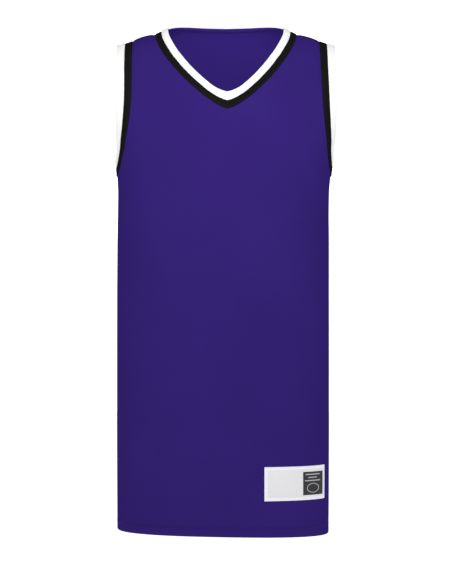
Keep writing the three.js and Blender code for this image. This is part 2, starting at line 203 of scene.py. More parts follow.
def cloth_point(half, place):
    """Points of the right half of the cloth. A place is an angle round the body, 0 at the centre and a
    right angle at the side seam, and a reach, the way down the cloth less the seam's height."""
    angle, reach = place[..., 0], place[..., 1]
    across = np.sin(angle) ** (2 / SQUARENESS)
    deep = np.maximum(np.cos(angle), 0) ** (2 / SQUARENESS)
    x = across * SHOULDER_TIP
    for _ in range(14):
        drop = drop_for_reach(reach + ridge(x))
        z = ridge(x) - drop
        x = across * half_width(-z)
    level = 1 - np.minimum(drop / SHOULDER_HEIGHT, 1)
    rise = np.sqrt(1 - level * level) * (1 - half.hollow * level * level)
    return np.stack([x, half.sign * half.depth(-z) * deep * rise, z], axis=-1)


def place_of(x, z):
    """The place of a point given in front view."""
    x, z = np.broadcast_arrays(np.asarray(x, dtype=float), np.asarray(z, dtype=float))
    share = np.minimum(x / half_width(-z), 1)
    return np.stack([np.arcsin(share ** (SQUARENESS / 2)), reach_for_drop(ridge(x) - z) - ridge(x)], axis=-1)


def unit(vectors):
    return vectors / np.maximum(np.linalg.norm(vectors, axis=-1, keepdims=True), 1e-12)


def tangents(half, place):
    """The two directions in the cloth at a place, and the way out of it."""
    step, reach_step = 0.004, 0.5
    back, on, high, low = (place.copy() for _ in range(4))
    back[..., 0] = np.maximum(place[..., 0] - step, 0)
    on[..., 0] = np.minimum(place[..., 0] + step, math.pi / 2)
    high[..., 1] -= reach_step
    low[..., 1] += reach_step
    turned = (on - back)[..., :1]
    round_ = (cloth_point(half, on) - cloth_point(half, back)) / turned
    down = (cloth_point(half, low) - cloth_point(half, high)) / (2 * reach_step)
    top = place[..., 1] + ridge(cloth_point(half, place)[..., 0]) < reach_step
    down[top] = (0, half.sign, 0)
    out = unit(np.cross(round_, down) * half.sign)
    out[..., 1] = np.where((place[..., 0] > math.pi / 2 - step) | top, 0, out[..., 1])
    out[..., 0] = np.where(place[..., 0] < step, 0, out[..., 0])
    return round_, down, unit(out)


def walk_in(half, start, edge, distance):
    """Walks over the cloth from places, square to an edge that runs along `edge`."""
    steps = 6
    place = start.copy()
    heading = None
    for _ in range(steps):
        round_, down, out = tangents(half, place)
        if heading is None:
            heading = unit(np.cross(out, edge))
        heading = unit(heading - out * (heading * out).sum(-1, keepdims=True))
        rr, rd, dd = (round_ * round_).sum(-1), (round_ * down).sum(-1), (down * down).sum(-1)
        hr, hd = (heading * round_).sum(-1), (heading * down).sum(-1)
        size = (distance / steps) / (rr * dd - rd * rd)
        angle = place[..., 0] + size * (hr * dd - hd * rd)
        reach = place[..., 1] + size * (hd * rr - hr * rd)
        place = np.stack([np.clip(angle, 0, math.pi / 2), reach], axis=-1)
    return place


def even_places(half, dense, cells):
    """Places at even distances along a curve of places."""
    points = cloth_point(half, dense)
    run = np.concatenate([[0], np.cumsum(np.linalg.norm(np.diff(points, axis=0), axis=1))])
    wanted = np.linspace(0, run[-1], cells + 1)
    return np.stack([np.interp(wanted, run, dense[:, i]) for i in (0, 1)], axis=-1)


def on_ridge(x):
    return place_of(x, ridge(np.asarray(x, dtype=float)))


def along_seam(start, distance):
    """The half width that lies a distance along the shoulder seam from another."""
    x, steps = start, 8
    for _ in range(steps):
        slope = float(ridge(x + 0.5) - ridge(x - 0.5))
        x += distance / steps / math.hypot(1, slope)
    return x


def along(points):
    """The direction of a line of points at each of them."""
    way = np.empty_like(points)
    way[1:-1] = points[2:] - points[:-2]
    way[0] = points[1] - points[0]
    way[-1] = points[-1] - points[-2]
    return way


NECK_POINT = (0, 13.8, 26.8)  # depths of the edge, the white strip and both strips at the point of the V
POINT_REACH = 26.0  # how far from the point the strips begin to widen


@functools.cache
def neck_line(half, distance):
    """Places at a distance from the neck edge, from the centre to the shoulder seam."""
    drop = curve_through(half.neck, 1)
    x = NECK_HALF_WIDTH * np.linspace(0, 1, 241)
    edge = even_places(half, place_of(x, np.minimum(-drop(x), ridge(x))), half.neck_cells)
    points = cloth_point(half, edge)
    depth = np.full(len(edge), distance)
    if half is FRONT:
        widths = (0, NECK_WHITE, NECK_WHITE + NECK_BLACK)
        at_point = np.interp(abs(distance), widths, NECK_POINT) * math.copysign(1, distance)
        near = np.clip(1 - points[:, 0] / POINT_REACH, 0, 1) ** 2
        depth = distance + (at_point - distance) * near
    line = walk_in(half, edge, along(points) * half.sign, depth)
    line[0] = walk_in(half, edge[:1], np.array([[half.sign, 0.0, 0.0]]), depth[:1])[0]
    line[-1] = on_ridge(along_seam(NECK_HALF_WIDTH, distance))
    return line


ARM_CELLS = 70


@functools.cache
def armhole_line(half, distance):
    """Places at a distance from the armhole edge, from the underarm up to the shoulder seam."""
    t = np.linspace(0, 1, 241)
    tip = float(ridge(np.float64(SHOULDER_TIP)))
    z = -UNDERARM_DROP + (UNDERARM_DROP + tip) * t * t * (3 - 2 * t)
    edge = even_places(half, place_of(armhole_x(-z), z), ARM_CELLS)
    line = walk_in(half, edge, -along(cloth_point(half, edge)) * half.sign, distance)
    drop = UNDERARM_DROP + distance
    line[0] = place_of(half_width(drop), -drop)
    line[-1] = on_ridge(along_seam(SHOULDER_TIP, -distance))
    return line


def relief(side, x, z):
    """How far the soft folds lift the cloth off its plain round form."""
    lift = np.zeros_like(x)
    for fold_side, at_x, at_z, tilt, length, width, height in SOFT_FOLDS:
        if fold_side == side:
            c, s = math.cos(math.radians(tilt)), math.sin(math.radians(tilt))
            run = (x - at_x) * c + (z - at_z) * s
            off = -(x - at_x) * s + (z - at_z) * c
            lift += height * np.exp(-((run / length) ** 2) - (off / width) ** 2)
    inner, outer = NECK_HALF_WIDTH + NECK_WHITE + NECK_BLACK, SHOULDER_TIP - ARM_WHITE - ARM_BLACK
    share = np.clip((np.abs(x) - inner) / (outer - inner), 0, 1)
    puff = np.sin(math.pi * share) ** 0.5 * np.exp(-(((ridge(np.abs(x)) - z) / 45) ** 2))
    puff_height = np.where(x < 0, 2.6, 1.8)
    puckers = np.sin(x * 0.83) * np.sin(x * 0.21 + 1.0) + 0.6 * np.sin(x * 0.37 + 2.0)
    return lift + puff_height * puff + 0.22 * puckers * np.exp(-(((z + LENGTH - HEM_FOLD) / 6) ** 2))


def settled(points):
    """Points of the even form, moved to where the cloth hangs."""
    x, y, z = points.T
    x = x + sway_over(-z) - sway_turn(-z) * y
    low = np.clip((-z - SLANT_FROM) / (LENGTH - SLANT_FROM), 0, None)
    return np.stack([x, y, z - HEM_SLANT * x * low * low], axis=-1)


def laid(half, places, mirror, height):
    """Points at a height over the cloth, and the way out there. Mirror is 1 on the right, -1 on the left."""
    point = cloth_point(half, places)
    out = tangents(half, places)[2]
    point[..., 0] *= mirror
    out[..., 0] *= mirror
    lift = height + relief(half.sign, point[..., 0], point[..., 2])
    return point + out * lift[..., None], out


def between(one, other, cells):
    share = np.linspace(0, 1, cells + 1)[:, None]
    return one + (other - one) * share


def fill_in(left, right, low, top):
    """A grid of places from its four sides. Left and right run upwards, low and top outwards."""
    u = np.linspace(0, 1, len(top))[None, :, None]
    v = ((left[:, 1] - left[0, 1]) / (left[-1, 1] - left[0, 1]))[:, None, None]
    sides = (1 - u) * left[:, None] + u * right[:, None]
    ends = (1 - v) * low[None] + v * top[None]
    corners = (1 - u) * ((1 - v) * low[0] + v * top[0]) + u * ((1 - v) * low[-1] + v * top[-1])
    return sides + ends - corners


HEM_DROPS = (762, 761.6, 760.8, 759.6, 757.5, 754, 750.5, 748, 746.5, 745.5, 744)
SIDE_ROWS = 96
SHOULDER_COLUMNS = 15


def panel_grids(half):
    """The cloth of half a panel: below the shoulder, at the shoulder, under the neck and armhole trims."""
    neck = np.stack([neck_line(half, d) for d in np.linspace(0, NECK_WHITE + NECK_BLACK, 6)])
    arm = np.stack([armhole_line(half, d) for d in np.linspace(0, ARM_WHITE + ARM_BLACK, 7)])
    neck_outer, arm_outer = neck[-1], arm[-1]
    neck_turn, arm_turn = half.neck_cells - half.turn, ARM_CELLS - half.turn
    seam_x = [cloth_point(half, line[-1:])[0, 0] for line in (neck_outer, arm_outer)]
    seam = on_ridge(np.linspace(*seam_x, SHOULDER_COLUMNS + 1))
    yoke = between(neck_outer[neck_turn], arm_outer[arm_turn], SHOULDER_COLUMNS)
    shoulder = fill_in(neck_outer[neck_turn:], arm_outer[arm_turn:], yoke, seam)
    under_trim = UNDERARM_DROP + ARM_WHITE + ARM_BLACK
    side_drops = np.concatenate([HEM_DROPS, np.linspace(HEM_DROPS[-1], under_trim, SIDE_ROWS + 1)[1:-1]])
    side = np.concatenate([place_of(half_width(side_drops), -side_drops), arm_outer[: arm_turn + 1]])
    top = np.concatenate([neck_outer[:neck_turn], yoke])
    hem_centre = place_of(np.zeros(len(HEM_DROPS)), -np.array(HEM_DROPS))
    rows = len(side) - len(HEM_DROPS)
    centre = np.concatenate([hem_centre, between(hem_centre[-1], top[0], rows)[1:]])
    hem = between(centre[0], side[0], len(top) - 1)
    return fill_in(centre, side, hem, top), shoulder, neck, arm


def cloth_uv(half, places, mirror):
    """Millimetres round the body and down it, for the knit to follow."""
    angles = np.linspace(0, math.pi / 2, 400)
    ring = np.stack([160 * np.sin(angles) ** (2 / SQUARENESS), 116 * np.cos(angles) ** (2 / SQUARENESS)])
    run = np.concatenate([[0], np.cumsum(np.linalg.norm(np.diff(ring), axis=0))])
    return np.stack([mirror * np.interp(places[..., 0], angles, run), -places[..., 1]], axis=-1)


def closed_mesh(name, points, faces, uv):
    """A smooth closed mesh, in metres, with its faces turned out and its hard edges kept."""
    mesh = bpy.data.meshes.new(name)
    mesh.from_pydata((settled(points) * MM).tolist(), [], faces)
    layer = mesh.uv_layers.new(name="cloth")
    corner = np.empty(len(mesh.loops), dtype=np.int32)
    mesh.loops.foreach_get("vertex_index", corner)
    layer.data.foreach_set("uv", (uv * MM)[corner].astype(np.float32).ravel())
    work = bmesh.new()
    work.from_mesh(mesh)
    bmesh.ops.recalc_face_normals(work, faces=work.faces)
    work.to_mesh(mesh)
    work.free()
    mesh.shade_smooth()
    mesh.set_sharp_from_angle(angle=math.radians(55))
    piece = bpy.data.objects.new(name, mesh)
    bpy.context.scene.collection.objects.link(piece)
    return piece


def panel_wall(name, half):
    """One panel as a closed wall: both faces of the cloth, and the edges between them."""
    known, base, out, uv, quads = {}, [], [], [], []
    for mirror in (1, -1):
        for grid in panel_grids(half):
            at = cloth_point(half, grid)
            at[..., 1] = half.sign * np.maximum(half.sign * at[..., 1], SEAM_HALF)
            at[..., 0] *= mirror
            way = tangents(half, grid)[2]
            way[..., 0] *= mirror
            number = np.empty(grid.shape[:2], dtype=int)
            keys = np.round(at / 0.005).astype(int)
            where = cloth_uv(half, grid, mirror)
            for index in np.ndindex(number.shape):
                key = tuple(keys[index])
                if key not in known:
                    known[key] = len(base)
                    base.append(at[index])
                    out.append(way[index])
                    uv.append(where[index])
                number[index] = known[key]
            a, b = number[:-1, :-1].ravel(), number[:-1, 1:].ravel()
            c, d = number[1:, 1:].ravel(), number[1:, :-1].ravel()
            quads += list(zip(a.tolist(), b.tolist(), c.tolist(), d.tolist()))
    base, out, uv = np.array(base), np.array(out), np.array(uv)
    lift = relief(half.sign, base[:, 0], base[:, 2])
    seam = np.exp(-((np.abs(base[:, 1]) / 1.6) ** 2))
    above_hem = base[:, 2] + LENGTH
    fold = 1 / (1 + np.exp((above_hem - HEM_FOLD) / 0.5))
    rounding = 0.95 * np.clip(1 - above_hem / 1.6, 0, 1) ** 2
    rows = [np.exp(-(((above_hem - row) / 1.1) ** 2)) for row in HEM_ROWS]
    stitch_dip = 0.25 * rows[0] + 0.6 * rows[1]
    outer = lift - 0.5 * seam - rounding - stitch_dip
    inner = lift - 0.5 * seam - KNIT - KNIT * fold + rounding + stitch_dip * 0.5
    count = len(base)
    points = np.concatenate([base + out * outer[:, None], base + out * inner[:, None]])
    faces, edges = [], {}
    for quad in quads:
        ring = [v for i, v in enumerate(quad) if v != quad[i - 1]]
        if len(set(ring)) < 3:
            continue
        faces.append(ring)
        faces.append([v + count for v in reversed(ring)])
        for i, v in enumerate(ring):
            pair = (ring[i - 1], v)
            edges[tuple(sorted(pair))] = edges.get(tuple(sorted(pair)), ()) + (pair,)
    for uses in edges.values():
        if len(uses) == 1:
            start, end = uses[0]
            faces.append([end, start, start + count, end + count])
    panel = closed_mesh(name, points, faces, np.concatenate([uv, uv]))
    for face in panel.data.polygons:
        # The inner faces take the second material, the paler purple of painted light.
        face.material_index = int(min(face.vertices) >= count)
    return panel


def knit_material(name, colour, shade, roughness, specular, wale, depth):
    """A dyed knit: a stitch relief that follows the cloth, a slight unevenness of the dye, and painted shade in
    the grooves between the wales.
    """
    material = bpy.data.materials.new(name)
    material.use_nodes = True
    nodes, links = material.node_tree.nodes, material.node_tree.links
    shader = nodes["Principled BSDF"]
    shader.inputs["Roughness"].default_value = roughness
    shader.inputs["Specular IOR Level"].default_value = specular
    shader.inputs["IOR"].default_value = 1.2
    place = nodes.new("ShaderNodeUVMap")
    place.uv_map = "cloth"
    split = nodes.new("ShaderNodeSeparateXYZ")
    links.new(place.outputs["UV"], split.inputs[0])

    def sum_of(operation, one, other):
        node = nodes.new("ShaderNodeMath")
        node.operation = operation
        for socket, value in zip(node.inputs, (one, other)):
            if isinstance(value, (int, float)):
                socket.default_value = value
            elif value is not None:
                links.new(value, socket)
        return node.outputs[0]

    # Each loop of a knit leans one way and then the other, so its rows rise and fall across a wale.
    wale_turn = sum_of("MULTIPLY", split.outputs["X"], math.pi / (wale * MM))
    wale_wave = sum_of("ABSOLUTE", sum_of("SINE", wale_turn, None), None)
    row_turn = sum_of("MULTIPLY", split.outputs["Y"], 2 * math.pi / (wale * 0.8 * MM))
    row_wave = sum_of("SINE", sum_of("ADD", row_turn, sum_of("MULTIPLY", wale_wave, math.pi)), None)
    relief_height = sum_of("ADD", sum_of("MULTIPLY", wale_wave, 0.6), sum_of("MULTIPLY", row_wave, 0.2))
    bump = nodes.new("ShaderNodeBump")
    bump.inputs["Strength"].default_value = 0.5
    bump.inputs["Distance"].default_value = depth * MM
    links.new(relief_height, bump.inputs["Height"])
    links.new(bump.outputs["Normal"], shader.inputs["Normal"])

    cloudy = nodes.new("ShaderNodeTexNoise")
    cloudy.inputs["Scale"].default_value = 9.0
    cloudy.inputs["Detail"].default_value = 3.0
    fine = nodes.new("ShaderNodeTexNoise")
    fine.inputs["Scale"].default_value = 420.0
    fine.inputs["Detail"].default_value = 2.0
    for noise in (cloudy, fine):
        links.new(place.outputs["UV"], noise.inputs["Vector"])
    share = sum_of("ADD", sum_of("MULTIPLY", cloudy.outputs["Fac"], 0.65),
                   sum_of("MULTIPLY", fine.outputs["Fac"], 0.35))
    # The colour is darkened between the wales: painted shade in the grooves of the knit, added to the uneven dye.
    dye_and_groove_shade = sum_of("SUBTRACT", share, sum_of("MULTIPLY", sum_of("SUBTRACT", 1, wale_wave), 0.12))
    ramp = nodes.new("ShaderNodeValToRGB")
    ramp.color_ramp.elements[0].position = 0.3
    ramp.color_ramp.elements[0].color = (*[c * (1 - shade) for c in colour], 1)
    ramp.color_ramp.elements[1].position = 0.7
    ramp.color_ramp.elements[1].color = (*[min(1, c * (1 + shade)) for c in colour], 1)
    links.new(dye_and_groove_shade, ramp.inputs["Fac"])
    links.new(ramp.outputs["Color"], shader.inputs["Base Color"])
    return material


purple_knit = knit_material(
    "purple_knit", (0.0322, 0.0153, 0.158), 0.07, roughness=0.8, specular=0.0, wale=1.1, depth=0.12
)

# The inner faces are painted a paler purple than the outer: painted light that stands in for the light reaching
# the inside of the jersey. The knit itself is the same colour on both faces.
inside_knit_painted_light = knit_material(
    "purple_knit_inside_painted_light", (0.058, 0.0281, 0.283), 0.07, roughness=0.8, specular=0.0, wale=1.1, depth=0.12
)

THREAD = 0.42  # thickness
STITCH, STITCH_GAP = 2.3, 0.5


def stitch_rows(name, rows):
    """Rows of stitches, each a line of points with the ways out there, as one mesh of small threads."""
    share = np.array([0, 0.14, 0.5, 0.86, 1])
    thick = THREAD / 2 * np.array([0.35, 0.95, 1, 0.95, 0.35])
    rise = np.array([-0.28, 0.08, 0.16, 0.08, -0.28])
    turns = np.linspace(0, 2 * math.pi, 6)[:-1]
    points, faces, uv = [], [], []
    for line, ways in rows:
        run = np.concatenate([[0], np.cumsum(np.linalg.norm(np.diff(line, axis=0), axis=1))])
        count = max(int(run[-1] / (STITCH + STITCH_GAP)), 1)
        step = run[-1] / count
        at = step * np.arange(count)[:, None] + share * (step - STITCH_GAP)
        centre = np.stack([np.interp(at, run, line[:, i]) for i in range(3)], axis=-1)
        way = unit(np.stack([np.interp(at, run, ways[:, i]) for i in range(3)], axis=-1))
        ahead = unit(centre[:, -1:] - centre[:, :1])
        side = unit(np.cross(ahead, way))
        centre = centre + way * rise[:, None]
        ring = centre[:, :, None] + thick[:, None, None] * (
            side[:, :, None] * np.cos(turns)[:, None] + way[:, :, None] * np.sin(turns)[:, None]
        )
        base = sum(len(p) for p in points)
        number = base + np.arange(count * 25).reshape(count, 5, 5)
        on = np.roll(number, -1, axis=2)
        faces += np.stack([number[:, :-1], number[:, 1:], on[:, 1:], on[:, :-1]], axis=-1).reshape(-1, 4).tolist()
        faces += number[:, 0, ::-1].tolist() + number[:, -1].tolist()
        points.append(ring.reshape(-1, 3))
        uv.append(np.stack([np.repeat(at.ravel(), 5), np.tile(turns, count * 5)], axis=-1))
    return closed_mesh(name, np.concatenate(points), faces, np.concatenate(uv))


def thread_material(name, colour):
    """Polyester thread: two plies that turn round each other, shown as diagonal bands of painted shade between
    the plies and painted highlight on them.
    """
    material = bpy.data.materials.new(name)
    material.use_nodes = True
    nodes, links = material.node_tree.nodes, material.node_tree.links
    shader = nodes["Principled BSDF"]
    shader.inputs["Roughness"].default_value = 0.6
    shader.inputs["IOR"].default_value = 1.2
    place = nodes.new("ShaderNodeUVMap")
    place.uv_map = "cloth"
    ply_shade_bands = nodes.new("ShaderNodeTexWave")
    ply_shade_bands.bands_direction = "DIAGONAL"
    ply_shade_bands.inputs["Scale"].default_value = 600.0
    ramp = nodes.new("ShaderNodeValToRGB")
    # The darker and paler ends of the ramp are painted shade and painted highlight along the twist.
    ramp.color_ramp.elements[0].color = (*[0.8 * c for c in colour], 1)
    ramp.color_ramp.elements[1].color = (*[min(1, 1.15 * c) for c in colour], 1)
    links.new(place.outputs["UV"], ply_shade_bands.inputs["Vector"])
    links.new(ply_shade_bands.outputs["Fac"], ramp.inputs["Fac"])
    links.new(ramp.outputs["Color"], shader.inputs["Base Color"])
    return material


def hem_row(half, mirror, above_hem):
    """One row of stitches round half of the hem, from side seam to side seam."""
    angles = np.linspace(0, math.pi / 2, 200)
    places = np.stack([angles, place_of(0 * angles, 0 * angles - LENGTH + above_hem)[:, 1]], axis=-1)
    points, ways = laid(half, places[:-2], mirror, 0.05)
    return points, ways


purple_thread = thread_material("purple_thread", (0.042, 0.02, 0.19))

front_panel = panel_wall("front_panel_knit", FRONT)
front_panel.data.materials.append(purple_knit)
front_panel.data.materials.append(inside_knit_painted_light)  # the inner faces are painted paler than the outer: painted light for the inside
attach(front_panel, "root")
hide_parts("front_panel")

front_hem_rows = [hem_row(FRONT, side, row) for side in (1, -1) for row in HEM_ROWS]
front_hem_thread = stitch_rows("front_hem_thread", front_hem_rows)
front_hem_thread.data.materials.append(purple_thread)
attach(front_hem_thread, "root")


# Back panel
# The back is cut from the same knit, with a shallow neck and the same armholes. It is sewn to the front at
# the shoulders and down both sides, and its hem is turned up with the front's.

back_panel = panel_wall("back_panel_knit", BACK)
back_panel.data.materials.append(purple_knit)
# The back's inner faces are painted paler too, as painted light.
back_panel.data.materials.append(inside_knit_painted_light)
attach(back_panel, "root")
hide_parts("back_panel")

back_hem_rows = [hem_row(BACK, side, row) for side in (1, -1) for row in HEM_ROWS]
back_hem_thread = stitch_rows("back_hem_thread", back_hem_rows)
back_hem_thread.data.materials.append(purple_thread)
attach(back_hem_thread, "root")


# Armhole trims
# Round each armhole runs a white strip at the edge and a black strip below it, of a firmer knit. The white
# is folded over the raw edge of the armhole, and the black is sewn flat to the panels.

TRIM = 1.15  # height of a strip over the panel
LIFT = 0.2  # of the strip's underside


def ring_line(line, distance, mirror):
    """Places of a line all round an opening, as pieces of (half, places, mirror)."""
    if line is armhole_line:
        return [(FRONT, line(FRONT, distance)[:-1], mirror), (BACK, line(BACK, distance)[:0:-1], mirror)]
    return [
        (FRONT, line(FRONT, distance)[:-1], 1),
        (BACK, line(BACK, distance)[:0:-1], 1),
        (BACK, line(BACK, distance)[:-1], -1),
        (FRONT, line(FRONT, distance)[:0:-1], -1),
    ]


def ring_points(line, distance, height, mirror=1):
    """Points at a height over a line that runs all round an opening, and the ways out there."""
    parts = [laid(half, places, side, height) for half, places, side in ring_line(line, distance, mirror)]
    return np.concatenate([p for p, _ in parts]), np.concatenate([o for _, o in parts])


def white_profile(width):
    """(distance from the edge, height) round a strip that is folded over the edge of the panel."""
    return (
        (-0.55, -0.4), (-0.5, 0.25), (-0.2, 0.85), (0.6, TRIM), (width / 3, TRIM + 0.1),
        (width * 2 / 3, TRIM + 0.1), (width - 1.2, TRIM), (width - 0.35, 0.8), (width - 0.1, LIFT),
        (width - 1.5, LIFT), (width / 2, LIFT), (0.4, LIFT), (-0.1, -0.2), (-0.1, -1.15), (-0.35, -1.3),
        (-0.5, -1.0),
    )


def black_profile(start, end):
    width = end - start
    return (
        (start + 0.1, LIFT), (start + 0.35, 0.75), (start + 1.2, TRIM - 0.05), (start + width / 2, TRIM),
        (end - 1.2, TRIM - 0.05), (end - 0.35, 0.7), (end, 0.1), (end - 1.2, LIFT),
        (start + width / 2, LIFT), (start + 1.2, LIFT),
    )


def strip_round(name, line, profile, mirror=1):
    """A closed strip all round an opening, with a profile of (distance, height)."""
    rings = [ring_points(line, distance, height, mirror)[0] for distance, height in profile]
    grid = np.stack(rings)
    run = np.concatenate([[0], np.cumsum(np.linalg.norm(np.diff(grid[3], axis=0), axis=1))])
    uv = np.stack([np.stack([run, np.full_like(run, distance)], axis=-1) for distance, _ in profile])
    return loop_mesh(name, grid, uv)


def loop_mesh(name, grid, uv):
    """A closed mesh from a grid that runs round in both directions."""
    sides, stations = grid.shape[:2]
    number = np.arange(sides * stations).reshape(sides, stations)
    on_side, on_station = np.roll(number, -1, axis=0), np.roll(number, -1, axis=1)
    both = np.roll(on_side, -1, axis=1)
    faces = np.stack([number, on_side, both, on_station], axis=-1).reshape(-1, 4)
    return closed_mesh(name, grid.reshape(-1, 3), faces.tolist(), uv.reshape(-1, 2))


def edge_row(line, distance, mirror=1):
    """One row of stitches all round an opening, on top of its strips."""
    points, ways = ring_points(line, distance, TRIM + 0.02, mirror)
    return np.concatenate([points, points[:1]]), np.concatenate([ways, ways[:1]])


white_knit = knit_material(
    "white_trim_knit", (0.9, 0.9, 0.89), 0.03, roughness=0.8, specular=0.3, wale=0.9, depth=0.1
)
black_knit = knit_material(
    "black_trim_knit", (0.0098, 0.0093, 0.009), 0.25, roughness=0.8, specular=0.0, wale=0.9, depth=0.1
)

white_thread = thread_material("white_thread", (0.8, 0.8, 0.79))
black_thread = thread_material("black_thread", (0.016, 0.015, 0.015))
# Metres round the middle of the white strip and of the black strip.
ARMHOLE_ROUND = (0.507, 0.554)
NECK_ROUND = (0.596, 0.649)


def sew_trims(opening, line, white_width, black_width, around, node_end="", mirror=1):
    """The two strips of one opening, and the stitches that hold them."""
    both = white_width + black_width
    white = strip_round(opening + "_white" + node_end, line, white_profile(white_width), mirror)
    black = strip_round(opening + "_black" + node_end, line, black_profile(white_width, both), mirror)
    for piece, knit, colour, flat in (
        (white, white_knit, "white", (white_width * MM, around[0])),
        (black, black_knit, "black", (black_width * MM, around[1])),
    ):
        piece.data.materials.append(knit)
        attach(piece, "root")
        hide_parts(opening + "_trim_" + colour + node_end)
    for colour, thread, distance in (
        ("white", white_thread, white_width - 1.9),
        ("black", black_thread, both - 1.9),
    ):
        stitches = stitch_rows(opening + "_" + colour + "_thread" + node_end, [edge_row(line, distance, mirror)])
        stitches.data.materials.append(thread)
        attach(stitches, "root")


for side, mirror in (("right", 1), ("left", -1)):
    sew_trims("armhole", armhole_line, ARM_WHITE, ARM_BLACK, ARMHOLE_ROUND, "_" + side, mirror)


# Neck trims
# The neck is finished like the armholes, with a white strip at the edge and a narrower black one below it.
# Both meet in a sewn mitre at the point of the V, and run level round the back.

sew_trims("neck", neck_line, NECK_WHITE, NECK_BLACK, NECK_ROUND)

# The strips are joined in a mitre at the point of the V, with a short row of stitches on each.
for colour, thread, start, end in (
    ("white", white_thread, 1.2, NECK_WHITE - 1.0),
    ("black", black_thread, NECK_WHITE + 1.0, NECK_WHITE + NECK_BLACK - 1.0),
):
    mitre = np.array([neck_line(FRONT, float(distance))[0] for distance in np.linspace(start, end, 6)])
    stitches = stitch_rows("neck_mitre_" + colour + "_thread", [laid(FRONT, mitre, 1, TRIM)])
    stitches.data.materials.append(thread)
    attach(stitches, "root")


# Back neck tape
# A narrow strip of the purple knit covers the seam inside the back neck, from shoulder to shoulder. Its
# lower edge shows through the neck opening.

TAPE = 8.5
TAPE_PROFILE = (
    (0.3, -1.3), (0.2, -2.0), (1.0, -2.35), (TAPE / 2, -2.45), (TAPE - 0.8, -2.3), (TAPE, -1.9), (TAPE, -1.3),
    (TAPE / 2, -1.3),
)


def strip_across(name, profile):
    """A closed strip inside the back neck, which ends just short of both shoulder seams."""
    rows = []
    for distance, height in profile:
        right = neck_line(BACK, distance)[:-1]
        left_points = laid(BACK, right[:0:-1], -1, height)[0]
        rows.append(np.concatenate([left_points, laid(BACK, right, 1, height)[0]]))
    grid = np.stack(rows)
    run = np.concatenate([[0], np.cumsum(np.linalg.norm(np.diff(grid[0], axis=0), axis=1))])
    uv = np.stack([np.stack([run, np.full_like(run, distance)], axis=-1) for distance, _ in profile])
    sides, stations = grid.shape[:2]
    number = np.arange(sides * stations).reshape(sides, stations)
    on_side = np.roll(number, -1, axis=0)
    faces = np.stack([number[:, :-1], on_side[:, :-1], on_side[:, 1:], number[:, 1:]], axis=-1)
    ends = [number[::-1, 0].tolist(), number[:, -1].tolist()]
    return closed_mesh(name, grid.reshape(-1, 3), faces.reshape(-1, 4).tolist() + ends, uv.reshape(-1, 2))


tape = strip_across("back_neck_strip", TAPE_PROFILE)
# The tape is painted the paler inner purple, painted light for the inside of the back neck.
tape.data.materials.append(inside_knit_painted_light)
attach(tape, "root")
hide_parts("back_neck_tape")


# Hem label
# A white woven satin label, sewn flat to the front near the hem. Its edges are folded under and stitched
# down, and a dark woven block fills its outer end.

LABEL_LEFT, LABEL_RIGHT, LABEL_TOP, LABEL_BOTTOM = 61.2, 151.4, -659.0, -709.2
LABEL_BORDER = 4.2


def plate(name, x_grid, z_grid, top, low):
    """A closed piece that lies on the front between two heights, over a grid in front view."""
    places = place_of(x_grid, z_grid)
    high_points = laid(FRONT, places, 1, top)[0].reshape(-1, 3)
    low_points = laid(FRONT, places, 1, np.full(x_grid.shape, low))[0].reshape(-1, 3)
    uv = np.stack([x_grid, z_grid], axis=-1).reshape(-1, 2)
    number = np.arange(x_grid.size).reshape(x_grid.shape)
    cells = np.stack([number[:-1, :-1], number[:-1, 1:], number[1:, 1:], number[1:, :-1]], axis=-1)
    cells = cells.reshape(-1, 4)
    rim = np.concatenate([number[0], number[1:, -1], number[-1, -2::-1], number[-2:0:-1, 0]])
    on = np.roll(rim, -1)
    sides = np.stack([on, rim, rim + x_grid.size, on + x_grid.size], axis=-1)
    faces = np.concatenate([cells, cells[:, ::-1] + x_grid.size, sides])
    return closed_mesh(name, np.concatenate([high_points, low_points]), faces.tolist(), np.concatenate([uv, uv]))


cross = np.concatenate([[0, 0.004, 0.03, 0.05], np.linspace(0.065, 0.935, 40), [0.95, 0.97, 0.996, 1]])
up = np.concatenate([[0, 0.008, 0.05, 0.085], np.linspace(0.11, 0.89, 24), [0.915, 0.95, 0.992, 1]])
label_angles = place_of(np.array([LABEL_LEFT, LABEL_RIGHT]), (LABEL_TOP + LABEL_BOTTOM) / 2)[:, 0]
label_cross, label_up = np.meshgrid(cross, up)
label_z = LABEL_BOTTOM + (LABEL_TOP - LABEL_BOTTOM) * label_up
label_turn = label_angles[0] + (label_angles[1] - label_angles[0]) * label_cross
label_x = half_width(-label_z) * np.sin(label_turn) ** (2 / SQUARENESS)
label_middle = cloth_point(FRONT, place_of(label_x[14], label_z[14]))
label_width = np.linalg.norm(np.diff(label_middle, axis=0), axis=1).sum()
from_side = np.minimum(label_cross, 1 - label_cross) * label_width
from_end = np.minimum(label_up, 1 - label_up) * (LABEL_TOP - LABEL_BOTTOM)
from_edge = np.minimum(from_side, from_end)
border = 1 / (1 + np.exp((from_edge - LABEL_BORDER) / 0.35))
ripple = 0.12 * np.sin(label_cross * 31) * np.sin(label_up * 9) * (1 - border)
label_height = 0.55 + 0.4 * border - 0.45 * np.exp(-((from_edge / 0.4) ** 2)) + ripple
label = plate("hem_label_satin", label_x, label_z, label_height, 0.1)
satin = knit_material(
    "label_satin", (0.81, 0.81, 0.83), 0.04, roughness=0.45, specular=0.6, wale=0.5, depth=0.05
)
border_satin = knit_material(
    "label_border", (0.93, 0.925, 0.99), 0.02, roughness=0.6, specular=0.3, wale=0.5, depth=0.03
)
label.data.materials.append(satin)
label.data.materials.append(border_satin)  # the folded edge is two layers, and whiter
on_border = np.tile(from_edge.ravel() < LABEL_BORDER + 0.3, 2)
for face in label.data.polygons:
    face.material_index = int(on_border[list(face.vertices)].all())
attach(label, "root")
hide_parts("hem_label")

